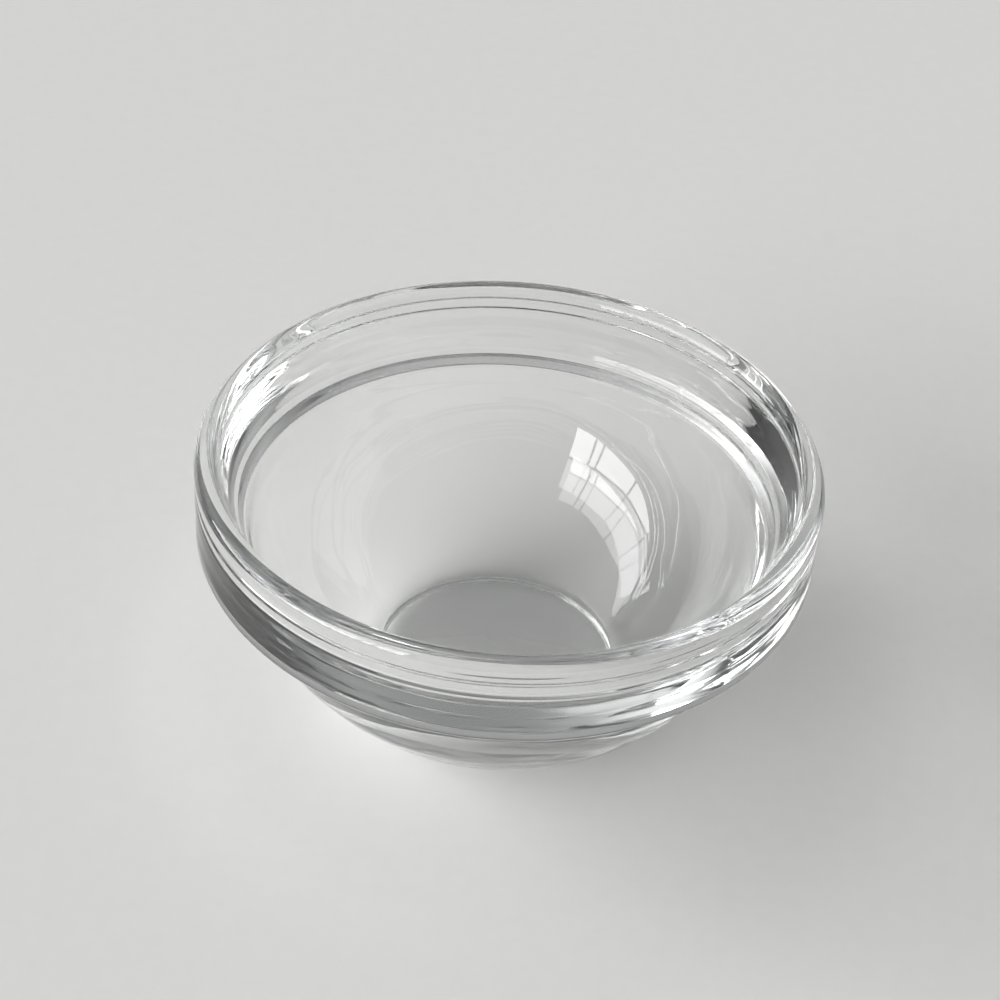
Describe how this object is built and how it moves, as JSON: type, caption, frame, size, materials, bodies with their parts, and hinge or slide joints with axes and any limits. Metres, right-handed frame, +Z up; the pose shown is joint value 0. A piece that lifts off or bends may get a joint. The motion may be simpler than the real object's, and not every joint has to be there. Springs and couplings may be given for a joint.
{
  "type": "prep bowl",
  "caption": "Small stackable prep bowl in clear pressed glass, with a rounded rim on a broad collar, a round body and a ring foot.",
  "frame": {"origin": "centre of the foot, on the surface that the bowl rests on", "axes": "+Z up along the bowl's axis of turning; X and Y are free, as the bowl is round"},
  "size_m": [0.075, 0.075, 0.0355],
  "materials": {
    "clear_glass": "clear colourless pressed glass, fire-polished"
  },
  "bodies": {
    "root": {"bowl": "clear_glass"}
  },
  "joints": []
}
